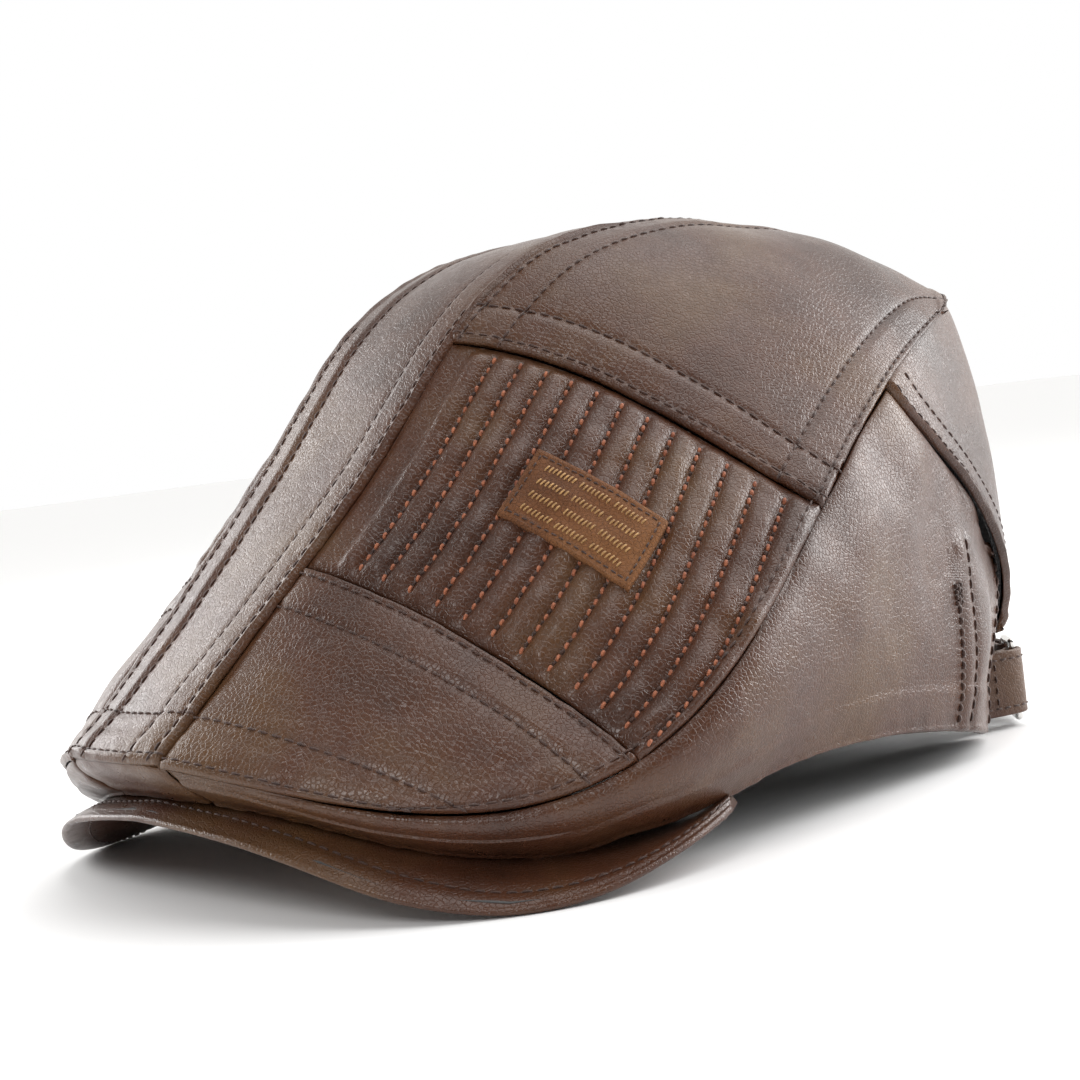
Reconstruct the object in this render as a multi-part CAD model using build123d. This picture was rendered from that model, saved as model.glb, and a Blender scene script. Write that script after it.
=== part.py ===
from build123d import *
from math import cos, pi, radians, sin, sqrt
import os

# Newsboy cap in leather.  Frame: +X the wearer's left, -Y the bill, +Z up, mm.
# z = 0 is the surface it rests on; the origin lies under the middle of the whole outline.
MID_Y = 16.1            # distance from the outline's middle back to the head's own centre line
LEATHER = 1.2           # panel leather
LINING = 0.8            # lining cloth
WADDING = 1.8           # quilting wadding, pressed
LINING_DEPTH = 6.0      # crown lining hangs this far below the leather's outer face
WALL_LINING_DEPTH = 1.6
STRIP_CROWN = 1.6       # rise of the centre strip between its two seams
BILL_COVER = 0.8
BILL_BOARD = 1.2
BILL_GAP = 0.25
BAND_TALL = 28.0        # sweatband height
PATCH_THICK = 1.1       # label patch, its long side across the quilting
STRAP_WIDE = 17.0
STRAP_LOW = 3.6         # strap's lower edge above the table
REAR_R = 66.0           # plan radius of the rear strap's inner ply, mid leather
REAR_Y = 45.0           # its centre, behind the head's own centre line
HEM_AT = 0.84           # how far round the side panel's free rear hem stands
TUCK = 5.0              # how far the strap draws that hem in under the back panel
BACK_LOW = 0.79         # the back panel's lower edge, down the wall
RING_BAR = 1.0          # half the ring wire
TAB_AT = 45.0           # ring's fixed bar, degrees round from the back
FOLD_AT = 36.0          # ring's strap bar
FLAP_AT = 31.0          # where the flap starts to lift
TIP_AT = 12.0           # where the fastened tip starts
FLAP_END = -10.0        # end of the flap

# Stations from front centre to back centre on the wearer's left; the other half mirrors them.
CROWN_SEAM = [(0, -147.5, 34.5), (48, -133.5, 27), (85, -102.5, 20.5), (101, -64.5, 34.5),
              (95.5, -23, 64.5), (81, 21.5, 93), (62.5, 63.5, 109.5), (36, 90.5, 115), (0, 99.5, 113)]
WALL_FOOT = [(0, -135.5, 25), (44.5, -126.5, 20.4), (76, -102, 10.5), (88.5, -63, 11), (84.5, -18, 15),
             (78, 26, 11), (66, 60, 4.5), (45, 84, 0.6), (0, 102, 0.6)]
WALL_BULGE = [1.2, 2.0, 3.5, 5.5, 6.0, 5.5, 6.5, 9.0, 9.5]
STRIP_SEAM = [(20.5, -145.5, 34), (22, -112, 64), (24.5, -83.5, 90.5), (25, -58.5, 117), (25, -30, 134.5),
              (25, 1.5, 140), (25, 32.5, 137), (25, 64, 126.5), (24, 96.5, 113)]
BILL_EDGE = [(0, -141, 23), (42, -136.5, 18.3), (74.5, -121.6, 6.8), (93, -98.6, 3.4), (97, -72, 8.5)]
BILL_ROOT = [(0, -90, 30), (28, -86, 27), (54, -76, 19), (72, -66, 11.5), (83, -58, 9)]
BAND_FOOT = [(0, -87, 31.5), (26, -83, 29), (50, -72.5, 23), (68, -58, 18), (77.5, -36, 17), (77.5, -5, 17.5),
             (71, 28, 13), (58, 53, 7), (43, 69, 4)]


def add(p, q, k=1.0):
    return tuple(a + k * b for a, b in zip(p, q))


def mix(p, q, k):
    return tuple(a + k * (b - a) for a, b in zip(p, q))


def unit(p):
    size = sqrt(sum(a * a for a in p))
    return tuple(a / size for a in p)


def cross(p, q):
    return (p[1] * q[2] - p[2] * q[1], p[2] * q[0] - p[0] * q[2], p[0] * q[1] - p[1] * q[0])


def dot(p, q):
    return sum(a * b for a, b in zip(p, q))


def spline(values):
    """Cubic through evenly spaced values with free ends; returns f(k), k = 0 to len - 1."""
    n = len(values)
    slope = [0.0] * n
    carry = [0.0] * n
    for i in range(1, n - 1):
        pull = 6 * (values[i + 1] - 2 * values[i] + values[i - 1])
        hold = 4 - slope[i - 1]
        slope[i] = 1 / hold
        carry[i] = (pull - carry[i - 1]) / hold
    bend = [0.0] * n
    for i in range(n - 2, 0, -1):
        bend[i] = carry[i] - slope[i] * bend[i + 1]

    def at(k):
        i = min(max(int(k), 0), n - 2)
        a = i + 1 - k
        b = k - i
        return (a * values[i] + b * values[i + 1]
                + ((a ** 3 - a) * bend[i] + (b ** 3 - b) * bend[i + 1]) / 6)
    return at


def half_loop(stations):
    """Smooth curve f(t) through the stations, t = 0 front centre to 1 back centre, mirrored both ways."""
    last = len(stations) - 1

    def mirrored(p):
        return (-p[0], p[1], p[2])
    around = [mirrored(p) for p in stations[:0:-1]] + stations + [mirrored(stations[-2])]
    lines = [spline([p[i] for p in around]) for i in range(3)]
    return lambda t: tuple(line(last + last * t) for line in lines)


def ramp(k):
    k = min(max(k, 0.0), 1.0)
    return k * k * (3 - 2 * k)


def run(stations):
    """Smooth curve f(t) through the stations with free ends, t = 0 to 1."""
    lines = [spline([p[i] for p in stations]) for i in range(3)]
    return lambda t: tuple(line((len(stations) - 1) * t) for line in lines)


crown_seam = half_loop(CROWN_SEAM)
wall_foot = half_loop(WALL_FOOT)
strip_seam = run(STRIP_SEAM)
bulge = spline(WALL_BULGE)
bill_edge = run(BILL_EDGE)
bill_root = run(BILL_ROOT)


def arc(p, q, r, s):
    """Cubic arc from p to s drawn towards q and r."""
    def at(w):
        a = 1 - w
        return tuple(a ** 3 * p[i] + 3 * a * a * w * q[i] + 3 * a * w * w * r[i] + w ** 3 * s[i] for i in range(3))
    return at


# Cross seams of the crown, strip seam out to crown seam: front/quilted, then quilted/rear.
FRONT_AT = (0.155, 0.326)
REAR_AT = (0.368, 0.519)
front_seam = arc(strip_seam(FRONT_AT[0]), (46, -101, 64.5), (76, -82, 42.5), crown_seam(FRONT_AT[1]))
rear_seam = arc(strip_seam(REAR_AT[0]), (49.5, -41.5, 109), (69.5, -34, 91), crown_seam(REAR_AT[1]))
TOE = 0.053             # where the strip meets the crown seam in front
TOE_BEND = 0.19
HEEL = 0.917            # and behind
HEEL_BEND = 0.76


def coons(low, high, left, right, rise):
    """Patch between low(w), high(w) and left(t), right(t), raised in the middle; returns f(t, w)."""
    def at(t, w):
        flat = tuple((1 - t) * a + t * b + (1 - w) * c + w * d for a, b, c, d
                     in zip(low(w), high(w), left(t), right(t)))
        ends = tuple((1 - t) * ((1 - w) * a + w * b) + t * ((1 - w) * c + w * d) for a, b, c, d
                     in zip(low(0), low(1), high(0), high(1)))
        lift = rise * 16 * t * (1 - t) * w * (1 - w)
        return (flat[0] - ends[0] + 0.5 * lift, flat[1] - ends[1], flat[2] - ends[2] + lift)
    return at


def between(curve, start, end):
    return lambda k: curve(start + (end - start) * k)


front_patch = coons(between(crown_seam, TOE, TOE_BEND), front_seam, between(strip_seam, 0, FRONT_AT[0]),
                    between(crown_seam, TOE_BEND, FRONT_AT[1]), 3.0)
quilt_patch = coons(front_seam, rear_seam, between(strip_seam, FRONT_AT[0], REAR_AT[0]),
                    between(crown_seam, FRONT_AT[1], REAR_AT[1]), 2.0)
rear_patch = coons(rear_seam, between(crown_seam, HEEL, HEEL_BEND), between(strip_seam, REAR_AT[0], 1),
                   between(crown_seam, REAR_AT[1], HEEL_BEND), 5.0)


def strip_patch(t, w):
    """Centre strip, t front to back and w from the wearer's right to left."""
    side = 2 * w - 1
    x, y, z = strip_seam(t)
    nose = add(crown_seam(TOE * abs(side)), strip_seam(0), -1)
    heel = add(crown_seam(1 - (1 - HEEL) * abs(side)), strip_seam(1), -1)
    blend = ramp(1 - t / 0.08)
    tail = ramp((t - 0.92) / 0.08)
    lift = STRIP_CROWN * (1 - side * side) * (1 - 0.6 * blend)
    return (x * side, y + nose[1] * blend + heel[1] * tail, z + lift + heel[2] * tail)


def wall(t, v, tuck=0.0):
    """Side and back wall, t front to back and v from the crown seam down to the foot."""
    if t > 1:
        x, y, z = wall(2 - t, v, tuck)
        return (-x, y, z)
    top = crown_seam(t)
    foot = wall_foot(t)
    step = 0.004
    ahead = add(crown_seam(t + step), wall_foot(t + step))
    behind = add(crown_seam(t - step), wall_foot(t - step))
    out = unit(cross(add(ahead, behind, -1), (0, 0, 1)))
    push = bulge(8 * abs(t)) * 4 * v * (1 - v)
    push -= tuck * ramp((t - 0.68) / 0.14) * ramp((v - 0.40) / 0.16)
    return add(mix(top, foot, v), (out[0], out[1], 0), push)


def bill(t, w):
    """Bill's top face, t across from the middle and w from the outer edge to the head."""
    side = 1 if t >= 0 else -1
    x, y, z = mix(bill_edge(abs(t)), bill_root(abs(t)), w)
    return (side * x, y, z + 1.5 * w * (1 - w))


# ---- solids ----
def face_normal(f, a, b, inside):
    step = 0.01
    a0, a1 = max(a - step, 0), min(a + step, 1)
    b0, b1 = max(b - step, 0), min(b + step, 1)
    n = cross(add(f(a1, b), f(a0, b), -1), add(f(a, b1), f(a, b0), -1))
    size = sqrt(dot(n, n))
    if size < 1e-9:
        return (0, 0, 1)
    n = unit(n)
    return n if dot(n, add(f(a, b), inside, -1)) > 0 else tuple(-k for k in n)


def layer(f, near, far, na=10, nb=8, inside=(0, 0, 30), trim=0.0):
    """Solid sheet following f(a, b), a and b 0 to 1, from depth near to depth far below its face."""
    def grid(depth):
        rows = []
        for i in range(na + 1):
            a = trim + (1 - 2 * trim) * i / na
            row = []
            for j in range(nb + 1):
                b = trim + (1 - 2 * trim) * j / nb
                row.append(Vector(*add(f(a, b), face_normal(f, a, b, inside), -depth)))
            rows.append(row)
        return rows
    skins = [grid(near), grid(far)]
    faces = [Face.make_surface_from_array_of_points(g, tol=0.02) for g in skins]
    rims = []
    for g, face in zip(skins, faces):
        middles = [g[na // 2][0], g[na // 2][nb], g[0][nb // 2], g[na][nb // 2]]
        rims.append([min(face.edges(), key=lambda e: min((e @ (k / 20) - m).length for k in range(21)))
                     for m in middles])
    sides = [Face.make_surface_from_curves(p, q) for p, q in zip(*rims)]
    solid = Solid(Shell(faces + sides))
    return solid if solid.volume > 0 else Solid(Shell([-k for k in faces + sides]))


def save(name, solid):
    solid = Pos(0, MID_Y, 0) * solid
    solid.label = name
    export_step(solid, f"parts/{name}.step")


def save_pair(name, solid):
    save(name + "_left", solid)
    save(name + "_right", mirror(solid, about=Plane.YZ))


os.makedirs("parts", exist_ok=True)


def diagonal(v):
    """How far round the seam between side panel and back panel lies at v down the wall."""
    return 0.626 + 0.12 * (v / 0.5) ** 1.6


def hem(v):
    return min(HEM_AT, diagonal(v) + 0.1 * ramp((v - 0.52) / 0.14))


def across(f, t0, t1, w0=0.0, w1=1.0):
    return lambda a, b: f(t0 + (t1 - t0) * a, w0 + (w1 - w0) * b)


def crown_inside(a, b):
    """Smooth stand-in for the crown's outer face, which the lining hangs below."""
    t = 0.10 + 0.82 * a
    side = 2 * b - 1
    if abs(side) < 0.3:
        return strip_patch(t, (side / 0.3 + 1) / 2)
    inner = strip_seam(t)
    outer = crown_seam(0.19 + 0.57 * (1 - (1 - t) ** 1.75))
    x, y, z = arc(inner, add(mix(inner, outer, 1 / 3), (0, 0, 8)), add(mix(inner, outer, 2 / 3), (0, 0, 6)),
                  outer)(0.92 * (abs(side) - 0.3) / 0.7)
    return (x if side > 0 else -x, y, z)


# Crown: centre strip and three panels a side, quilting wadding, one lining.
save("crown_strip", layer(strip_patch, 0, LEATHER, 20, 8, trim=0.006))
save_pair("crown_front", layer(front_patch, 0, LEATHER, 10, 10, trim=0.005))
save_pair("crown_quilted", layer(quilt_patch, 0, LEATHER, 8, 10, trim=0.005))
save_pair("crown_rear", layer(rear_patch, 0, LEATHER, 12, 12, trim=0.005))
save_pair("wadding", layer(quilt_patch, 1.4, 1.4 + WADDING, 8, 10, trim=0.06))
save("crown_lining", layer(crown_inside, LINING_DEPTH, LINING_DEPTH + LINING, 20, 20))

# Wall: short front band, two side panels running back to free hems, back panel between them.
EASE = 0.0012


def down(t, b, low=1.0):
    """Share of the way down the wall, b = 0 just under the crown's edge to b = 1 at low."""
    drop = add(crown_seam(t), wall_foot(t), -1)
    start = 1.8 / sqrt(dot(drop, drop))
    return start + (low - start) * b


def side_face(a, b):
    t = TOE + EASE + (hem(b) - TOE - 2 * EASE) * a
    return wall(t, down(t, b), TUCK)


def back_face(a, b):
    edge = diagonal(BACK_LOW * b) + EASE
    t = edge + 2 * (1 - edge) * a
    return wall(t, down(min(t, 2 - t), b, BACK_LOW))


save("front_band", layer(lambda a, b: wall((2 * a - 1) * (TOE - EASE), down(0, b)), 0, LEATHER, 6, 4))
save_pair("side_panel", layer(side_face, 0, LEATHER, 24, 14))


save("back_panel", layer(back_face, 0, LEATHER, 16, 12))
save("back_lining", layer(back_face, WALL_LINING_DEPTH, WALL_LINING_DEPTH + LINING, 16, 12, trim=0.04))
save_pair("side_lining", layer(lambda a, b: wall(0.24 + (hem(0.06 + 0.82 * b) - 0.27) * a, 0.06 + 0.82 * b, TUCK),
                               WALL_LINING_DEPTH, WALL_LINING_DEPTH + LINING, 18, 12))
band_foot = run([(-x, y, z) for x, y, z in BAND_FOOT[:0:-1]] + BAND_FOOT)


def sweat(a, b):
    x, y, z = band_foot(a)
    return (x, y, z + BAND_TALL * b)


save("sweatband", layer(sweat, 0, LINING, 36, 4))

# Bill: stiff board between two leather covers.
BELOW = (0, -110, -200)
bill_face = across(bill, -1, 1)
save("bill_top_cover", layer(bill_face, 0, BILL_COVER, 24, 8, BELOW))
board_at = BILL_COVER + BILL_GAP
save("bill_board", layer(bill_face, board_at, board_at + BILL_BOARD, 24, 8, BELOW, 0.025))
under_at = board_at + BILL_BOARD + BILL_GAP
save("bill_under_cover", layer(bill_face, under_at, under_at + BILL_COVER, 24, 8, BELOW))

# Label patch, stood just off the quilted panel on the wearer's left.
PATCH_AT = (0.38, 0.64, 0.38, 0.725)
save("label_patch", layer(lambda a, b: quilt_patch(PATCH_AT[0] + (PATCH_AT[1] - PATCH_AT[0]) * a,
                                                   PATCH_AT[2] + (PATCH_AT[3] - PATCH_AT[2]) * b),
                          -0.25 - PATCH_THICK, -0.25, 6, 6))


def polar(radius, turn, along=0.0, off=0.0):
    """Plan point round the rear arc, turn in degrees from straight back towards the wearer's left."""
    a = radians(turn)
    return ((radius + off) * sin(a) + along * cos(a), REAR_Y + (radius + off) * cos(a) - along * sin(a))


def ribbon(points, thick, low=STRAP_LOW, tall=STRAP_WIDE):
    """Upright strip of leather following the plan points down its middle."""
    path = Spline(*points)
    n = 6 * len(points)
    edges = []
    for side in (-thick / 2, thick / 2):
        row = []
        for i in range(n + 1):
            at, way = path @ (i / n), path % (i / n)
            row.append((at.X - way.Y * side, at.Y + way.X * side))
        edges.append(row)
    left, right = edges
    outline = Wire([Spline(*left), Line(left[-1], right[-1]), Spline(*right[::-1]), Line(right[0], left[0])])
    return Pos(0, 0, low) * extrude(Face(outline), tall)


TURN = RING_BAR + 0.2 + LEATHER / 2      # leather's middle line round a ring bar
BAR_R = REAR_R + TURN
OUTER_R = BAR_R + TURN


def fold(turn, way):
    """Half turn of leather round the ring bar at turn, inner side to outer, on the side way points to."""
    return [polar(BAR_R, turn, way * TURN * sin(a), -TURN * cos(a)) for a in (pi * i / 6 for i in range(7))]


tab_loop = ([polar(53.8, 66), polar(53.9, 60), polar(56, 54.5), polar(62.5, 49.5)] + fold(TAB_AT, -1)
            + [polar(65.0, 50.2), polar(58.1, 55.4), polar(55.3, 60.4), polar(55.2, 66)])
save("strap_tab", ribbon(tab_loop, LEATHER))
strap_path = ([polar(55.3, -66), polar(55.4, -60), polar(57.8, -55), polar(63.6, -48)]
              + [polar(REAR_R, turn) for turn in range(-38, 35, 9)] + fold(FOLD_AT, 1)
              + [polar(OUTER_R, FLAP_AT + 0.6)])
save("strap_run", ribbon(strap_path, LEATHER))
save("strap_flap", ribbon([polar(OUTER_R, FLAP_AT - i * (FLAP_AT - TIP_AT - 0.3) / 4) for i in range(5)], LEATHER))
save("strap_tip", ribbon([polar(OUTER_R, TIP_AT - i * (TIP_AT - FLAP_END) / 4) for i in range(5)], LEATHER))
LOOP_R = REAR_R + LEATHER / 2 + 0.05 + 0.5
HOOK_R = OUTER_R - LEATHER / 2 - 0.05 - 0.5
save("loop_tape", ribbon([polar(LOOP_R, turn) for turn in (24, 12, 0, -12, -24)], 1.0, STRAP_LOW + 1.5, 14.0))
save("hook_tape", ribbon([polar(HOOK_R, turn) for turn in (11, 6, 1, -4, -9)], 1.0, STRAP_LOW + 1.5, 14.0))

# Ring: wire rectangle, its bars upright through the tab and the strap's fold.
ring_low = STRAP_LOW - 0.4 - RING_BAR
ring_high = STRAP_LOW + STRAP_WIDE + 0.4 + RING_BAR
corners = [(*polar(BAR_R, turn), z) for turn, z in ((TAB_AT, ring_low), (TAB_AT, ring_high),
                                                    (FOLD_AT, ring_high), (FOLD_AT, ring_low))]
ring = Part()
for p, q in zip(corners, corners[1:] + corners[:1]):
    bar = Plane(p, z_dir=add(q, p, -1)) * extrude(Circle(RING_BAR), (Vector(*q) - Vector(*p)).length)
    ring += bar + Pos(*p) * Sphere(RING_BAR)
save("strap_ring", ring)
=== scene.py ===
import math

import bpy
import numpy as np
from mathutils import Matrix, Vector


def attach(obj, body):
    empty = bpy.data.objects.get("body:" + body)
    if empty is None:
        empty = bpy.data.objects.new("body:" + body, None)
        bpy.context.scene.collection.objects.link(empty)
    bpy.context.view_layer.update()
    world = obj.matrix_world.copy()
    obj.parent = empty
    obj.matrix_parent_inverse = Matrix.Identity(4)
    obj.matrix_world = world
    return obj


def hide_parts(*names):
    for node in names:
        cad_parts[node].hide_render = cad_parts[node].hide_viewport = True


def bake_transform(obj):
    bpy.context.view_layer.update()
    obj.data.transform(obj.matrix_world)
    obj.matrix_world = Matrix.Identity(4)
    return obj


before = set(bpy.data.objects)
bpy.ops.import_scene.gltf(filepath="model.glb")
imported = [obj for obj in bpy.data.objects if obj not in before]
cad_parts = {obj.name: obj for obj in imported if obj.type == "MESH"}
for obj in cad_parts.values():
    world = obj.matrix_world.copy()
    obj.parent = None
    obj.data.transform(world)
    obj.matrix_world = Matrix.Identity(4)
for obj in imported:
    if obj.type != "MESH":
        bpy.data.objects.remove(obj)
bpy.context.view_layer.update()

# Millimetres here, in the part's own frame: +X the wearer's left, -Y the bill, +Z up.
MM = 0.001
MID_Y = 16.1            # the stations below stand this far in front of their place in the frame
LEATHER = 1.15          # panel leather
STRAP_LEATHER = 1.2
DETAIL = 0.9            # mesh spacing on leather
STRAP_LOW, STRAP_TALL = 3.6, 17.0
STRAP_ROW = 2.2         # the strap's edge rows, in from its edges
REAR_R, REAR_Y = 66.0, 45.0         # plan radius and centre of the strap's inner ply
HEM_AT = 0.84           # how far round the side panel's free rear hem stands
TUCK = 5.0              # how far the strap draws that hem in
HEM_TOP = 0.56          # how far down the wall the hem comes free
FACING_AT, FACING_ROW = 0.664, 0.686        # how far round the two rows of the hem's facing stand
BACK_LOW = 0.79         # the back panel's lower edge, down the wall
RING_BAR = 1.0          # half the ring wire
# Degrees round from the back: the ring's two bars, the flap's start, and the tip's start and end.
TAB_AT, FOLD_AT, FLAP_AT, TIP_AT, FLAP_END = 45.0, 36.0, 31.0, 12.0, -10.0
# Plain stitching: its pitch, the share of it that shows, and half the thread's thickness.
PITCH, SHARE, THREAD_R = 3.1, 0.78, 0.26
QUILT_LINES, QUILT_HIGH = 12, 1.75
# The first sewn line and the step to the next, across the panel, and how both change along the lines.
QUILT_FIRST, QUILT_LEAN, QUILT_STEP, QUILT_SPREAD = 0.170, -0.035, 0.0745, -0.003
PATCH_AT = (0.38, 0.64, 0.38, 0.725)        # along and across the quilted panel
PATCH_PROUD = 2.3
PATCH_ROW = 1.5         # its border row, in from its edges
# How far in from the leather's outer face the linings lie, and how thick they are.
LINING_DEEP, WALL_LINING_DEEP, LINING = 6.2, 1.7, 0.7
BILL_THICK, BILL_NOSE = 3.1, 1.2            # the bill, and how far its rounded edge stands out
BILL_ROW = 4.2          # its row of stitches, in from its edge

# Stations from front centre to back centre on the wearer's left; the other half mirrors them.
CROWN_SEAM = [(0, -147.5, 34.5), (48, -133.5, 27), (85, -102.5, 20.5), (101, -64.5, 34.5),
              (95.5, -23, 64.5), (81, 21.5, 93), (62.5, 63.5, 109.5), (36, 90.5, 115), (0, 99.5, 113)]
WALL_FOOT = [(0, -135.5, 25), (44.5, -126.5, 20.4), (76, -102, 10.5), (88.5, -63, 11), (84.5, -18, 15),
             (78, 26, 11), (66, 60, 4.5), (45, 84, 0.6), (0, 102, 0.6)]
WALL_BULGE = [1.2, 2.0, 3.5, 5.5, 6.0, 5.5, 6.5, 9.0, 9.5]
STRIP_SEAM = [(20.5, -145.5, 34), (22, -112, 64), (24.5, -83.5, 90.5), (25, -58.5, 117), (25, -30, 134.5),
              (25, 1.5, 140), (25, 32.5, 137), (25, 64, 126.5), (24, 96.5, 113)]
# The last station of each bill line is past the board, where the bill's leather runs in under the side wall.
BILL_EDGE = [(0, -141, 23), (42, -136.5, 18.3), (74.5, -121.6, 6.8), (93, -98.6, 3.4), (97, -72, 8.5),
             (91.5, -50, 13)]
BILL_ROOT = [(0, -90, 30), (28, -86, 27), (54, -76, 19), (72, -66, 11.5), (83, -58, 9), (85, -44, 13)]
BILL_END = 1.22         # where the leather ends; the CAD covers end at 1
BAND_FOOT = [(0, -87, 31.5), (26, -83, 29), (50, -72.5, 23), (68, -58, 18), (77.5, -36, 17), (77.5, -5, 17.5),
             (71, 28, 13), (58, 53, 7), (43, 69, 4)]
BAND_TALL = 28.0        # sweatband height
STRIP_CROWN = 1.6       # rise of the centre strip between its two seams
# Where the crown's cross seams and corners meet the strip seam and the crown seam.
FRONT_AT = (0.155, 0.326)
REAR_AT = (0.368, 0.519)
TOE, TOE_BEND, HEEL, HEEL_BEND = 0.053, 0.19, 0.917, 0.76


# ---- curves and faces: the part's, with the bill carried on under the side wall ----
def natural(values):
    """Cubic through evenly spaced values with free ends; returns f(k) for arrays of k."""
    values = np.asarray(values, float)
    if values.ndim == 1:
        values = values[:, None]
    n = len(values)
    matrix, pull = np.eye(n), np.zeros_like(values)
    for i in range(1, n - 1):
        matrix[i, i - 1:i + 2] = 1, 4, 1
        pull[i] = 6 * (values[i + 1] - 2 * values[i] + values[i - 1])
    bend = np.linalg.solve(matrix, pull)

    def at(k):
        k = np.asarray(k, float)
        i = np.clip(k.astype(int), 0, n - 2)
        a, b = (i + 1 - k)[..., None], (k - i)[..., None]
        return a * values[i] + b * values[i + 1] + ((a ** 3 - a) * bend[i] + (b ** 3 - b) * bend[i + 1]) / 6
    return at


def half_loop(stations):
    last = len(stations) - 1

    def mirrored(p):
        return (-p[0], p[1], p[2])
    line = natural([mirrored(p) for p in stations[:0:-1]] + stations + [mirrored(stations[-2])])
    return lambda t: line(last + last * np.asarray(t, float))


def run(stations):
    line = natural(stations)
    return lambda t: line((len(stations) - 1) * np.asarray(t, float))


def ramp(k):
    k = np.clip(k, 0, 1)
    return k * k * (3 - 2 * k)


def ridge(x, centre, wide):
    """Smooth bump, 1 at the centre and nearly gone two wide from it."""
    return np.exp(-((x - centre) / wide) ** 2)


def arc(*points):
    p = [np.asarray(q, float) for q in points]

    def at(w):
        w = np.asarray(w, float)[..., None]
        a = 1 - w
        return a ** 3 * p[0] + 3 * a * a * w * p[1] + 3 * a * w * w * p[2] + w ** 3 * p[3]
    return at


def between(curve, start, end):
    return lambda k: curve(start + (end - start) * np.asarray(k, float))


def coons(low, high, left, right, rise):
    def at(t, w):
        t, w = np.broadcast_arrays(np.asarray(t, float), np.asarray(w, float))
        tt, ww = t[..., None], w[..., None]
        flat = (1 - tt) * low(w) + tt * high(w) + (1 - ww) * left(t) + ww * right(t)
        zero, one = np.zeros_like(w), np.ones_like(w)
        ends = ((1 - tt) * ((1 - ww) * low(zero) + ww * low(one))
                + tt * ((1 - ww) * high(zero) + ww * high(one)))
        lift = rise * 16 * tt * (1 - tt) * ww * (1 - ww)
        return flat - ends + lift * np.array([0.5, 0, 1])
    return at


crown_seam, wall_foot, strip_seam = half_loop(CROWN_SEAM), half_loop(WALL_FOOT), run(STRIP_SEAM)
bulge = natural(WALL_BULGE)
bill_edge, bill_root = natural(BILL_EDGE), natural(BILL_ROOT)
band_foot = run([(-x, y, z) for x, y, z in BAND_FOOT[:0:-1]] + BAND_FOOT)
front_seam = arc(strip_seam(FRONT_AT[0]), (46, -101, 64.5), (76, -82, 42.5), crown_seam(FRONT_AT[1]))
rear_seam = arc(strip_seam(REAR_AT[0]), (49.5, -41.5, 109), (69.5, -34, 91), crown_seam(REAR_AT[1]))
front_patch = coons(between(crown_seam, TOE, TOE_BEND), front_seam, between(strip_seam, 0, FRONT_AT[0]),
                    between(crown_seam, TOE_BEND, FRONT_AT[1]), 3.0)
quilt_patch = coons(front_seam, rear_seam, between(strip_seam, FRONT_AT[0], REAR_AT[0]),
                    between(crown_seam, FRONT_AT[1], REAR_AT[1]), 2.0)
rear_patch = coons(rear_seam, between(crown_seam, HEEL, HEEL_BEND), between(strip_seam, REAR_AT[0], 1),
                   between(crown_seam, REAR_AT[1], HEEL_BEND), 5.0)


def strip_patch(t, w):
    t, w = np.broadcast_arrays(np.asarray(t, float), np.asarray(w, float))
    side = 2 * w - 1
    p, first, last = strip_seam(t), strip_seam(0.0), strip_seam(1.0)
    nose, heel = crown_seam(TOE * np.abs(side)), crown_seam(1 - (1 - HEEL) * np.abs(side))
    blend, tail = ramp(1 - t / 0.08), ramp((t - 0.92) / 0.08)
    y = p[..., 1] + (nose[..., 1] - first[1]) * blend + (heel[..., 1] - last[1]) * tail
    crown = STRIP_CROWN * (1 - side * side) * (1 - 0.6 * blend - 0.9 * tail)
    z = p[..., 2] + crown + (heel[..., 2] - last[2]) * tail
    return np.stack([p[..., 0] * side, y, z], -1)


def wall(t, v, tuck=0.0):
    t, v = np.broadcast_arrays(np.asarray(t, float), np.asarray(v, float))
    flip = t > 1
    t = np.where(flip, 2 - t, t)
    top, foot, step = crown_seam(t), wall_foot(t), 0.004
    along = crown_seam(t + step) + wall_foot(t + step) - crown_seam(t - step) - wall_foot(t - step)
    out = np.stack([along[..., 1], -along[..., 0], np.zeros_like(t)], -1)
    out /= np.linalg.norm(out, axis=-1, keepdims=True)
    push = bulge(8 * np.abs(t))[..., 0] * 4 * v * (1 - v)
    push = push - tuck * ramp((t - 0.68) / 0.14) * ramp((v - 0.40) / 0.16)
    p = top + (foot - top) * v[..., None] + out * push[..., None]
    p[..., 0] = np.where(flip, -p[..., 0], p[..., 0])
    return p


def bill_face(t, w):
    t, w = np.broadcast_arrays(np.asarray(t, float), np.asarray(w, float))
    side = 4 * np.abs(t)
    p = bill_edge(side) * (1 - w[..., None]) + bill_root(side) * w[..., None]
    p[..., 0] *= np.where(t >= 0, 1, -1)
    p[..., 2] += 1.5 * w * (1 - w)
    return p


def diagonal(v):
    return 0.626 + 0.12 * (np.maximum(v, 0) / 0.5) ** 1.6


def hem(v):
    return np.minimum(HEM_AT, diagonal(v) + 0.1 * ramp((v - 0.52) / 0.14))


def down(t, b, low=1.0, gap=0.5):
    drop = np.linalg.norm(crown_seam(t) - wall_foot(t), axis=-1)
    return gap / drop + (low - gap / drop) * b


def side_face(a, b):
    a, b = np.broadcast_arrays(a, b)
    t = TOE + 0.0006 + (hem(b) - TOE - 0.0012) * a
    return wall(t, down(t, b, 1 + 0.12 * ramp((0.34 - t) / 0.05)), TUCK)


def back_face(a, b):
    a, b = np.broadcast_arrays(a, b)
    edge = diagonal(BACK_LOW * b) + 0.0004
    t = edge + 2 * (1 - edge) * a
    return wall(t, down(np.minimum(t, 2 - t), b, BACK_LOW, -0.9))


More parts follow.
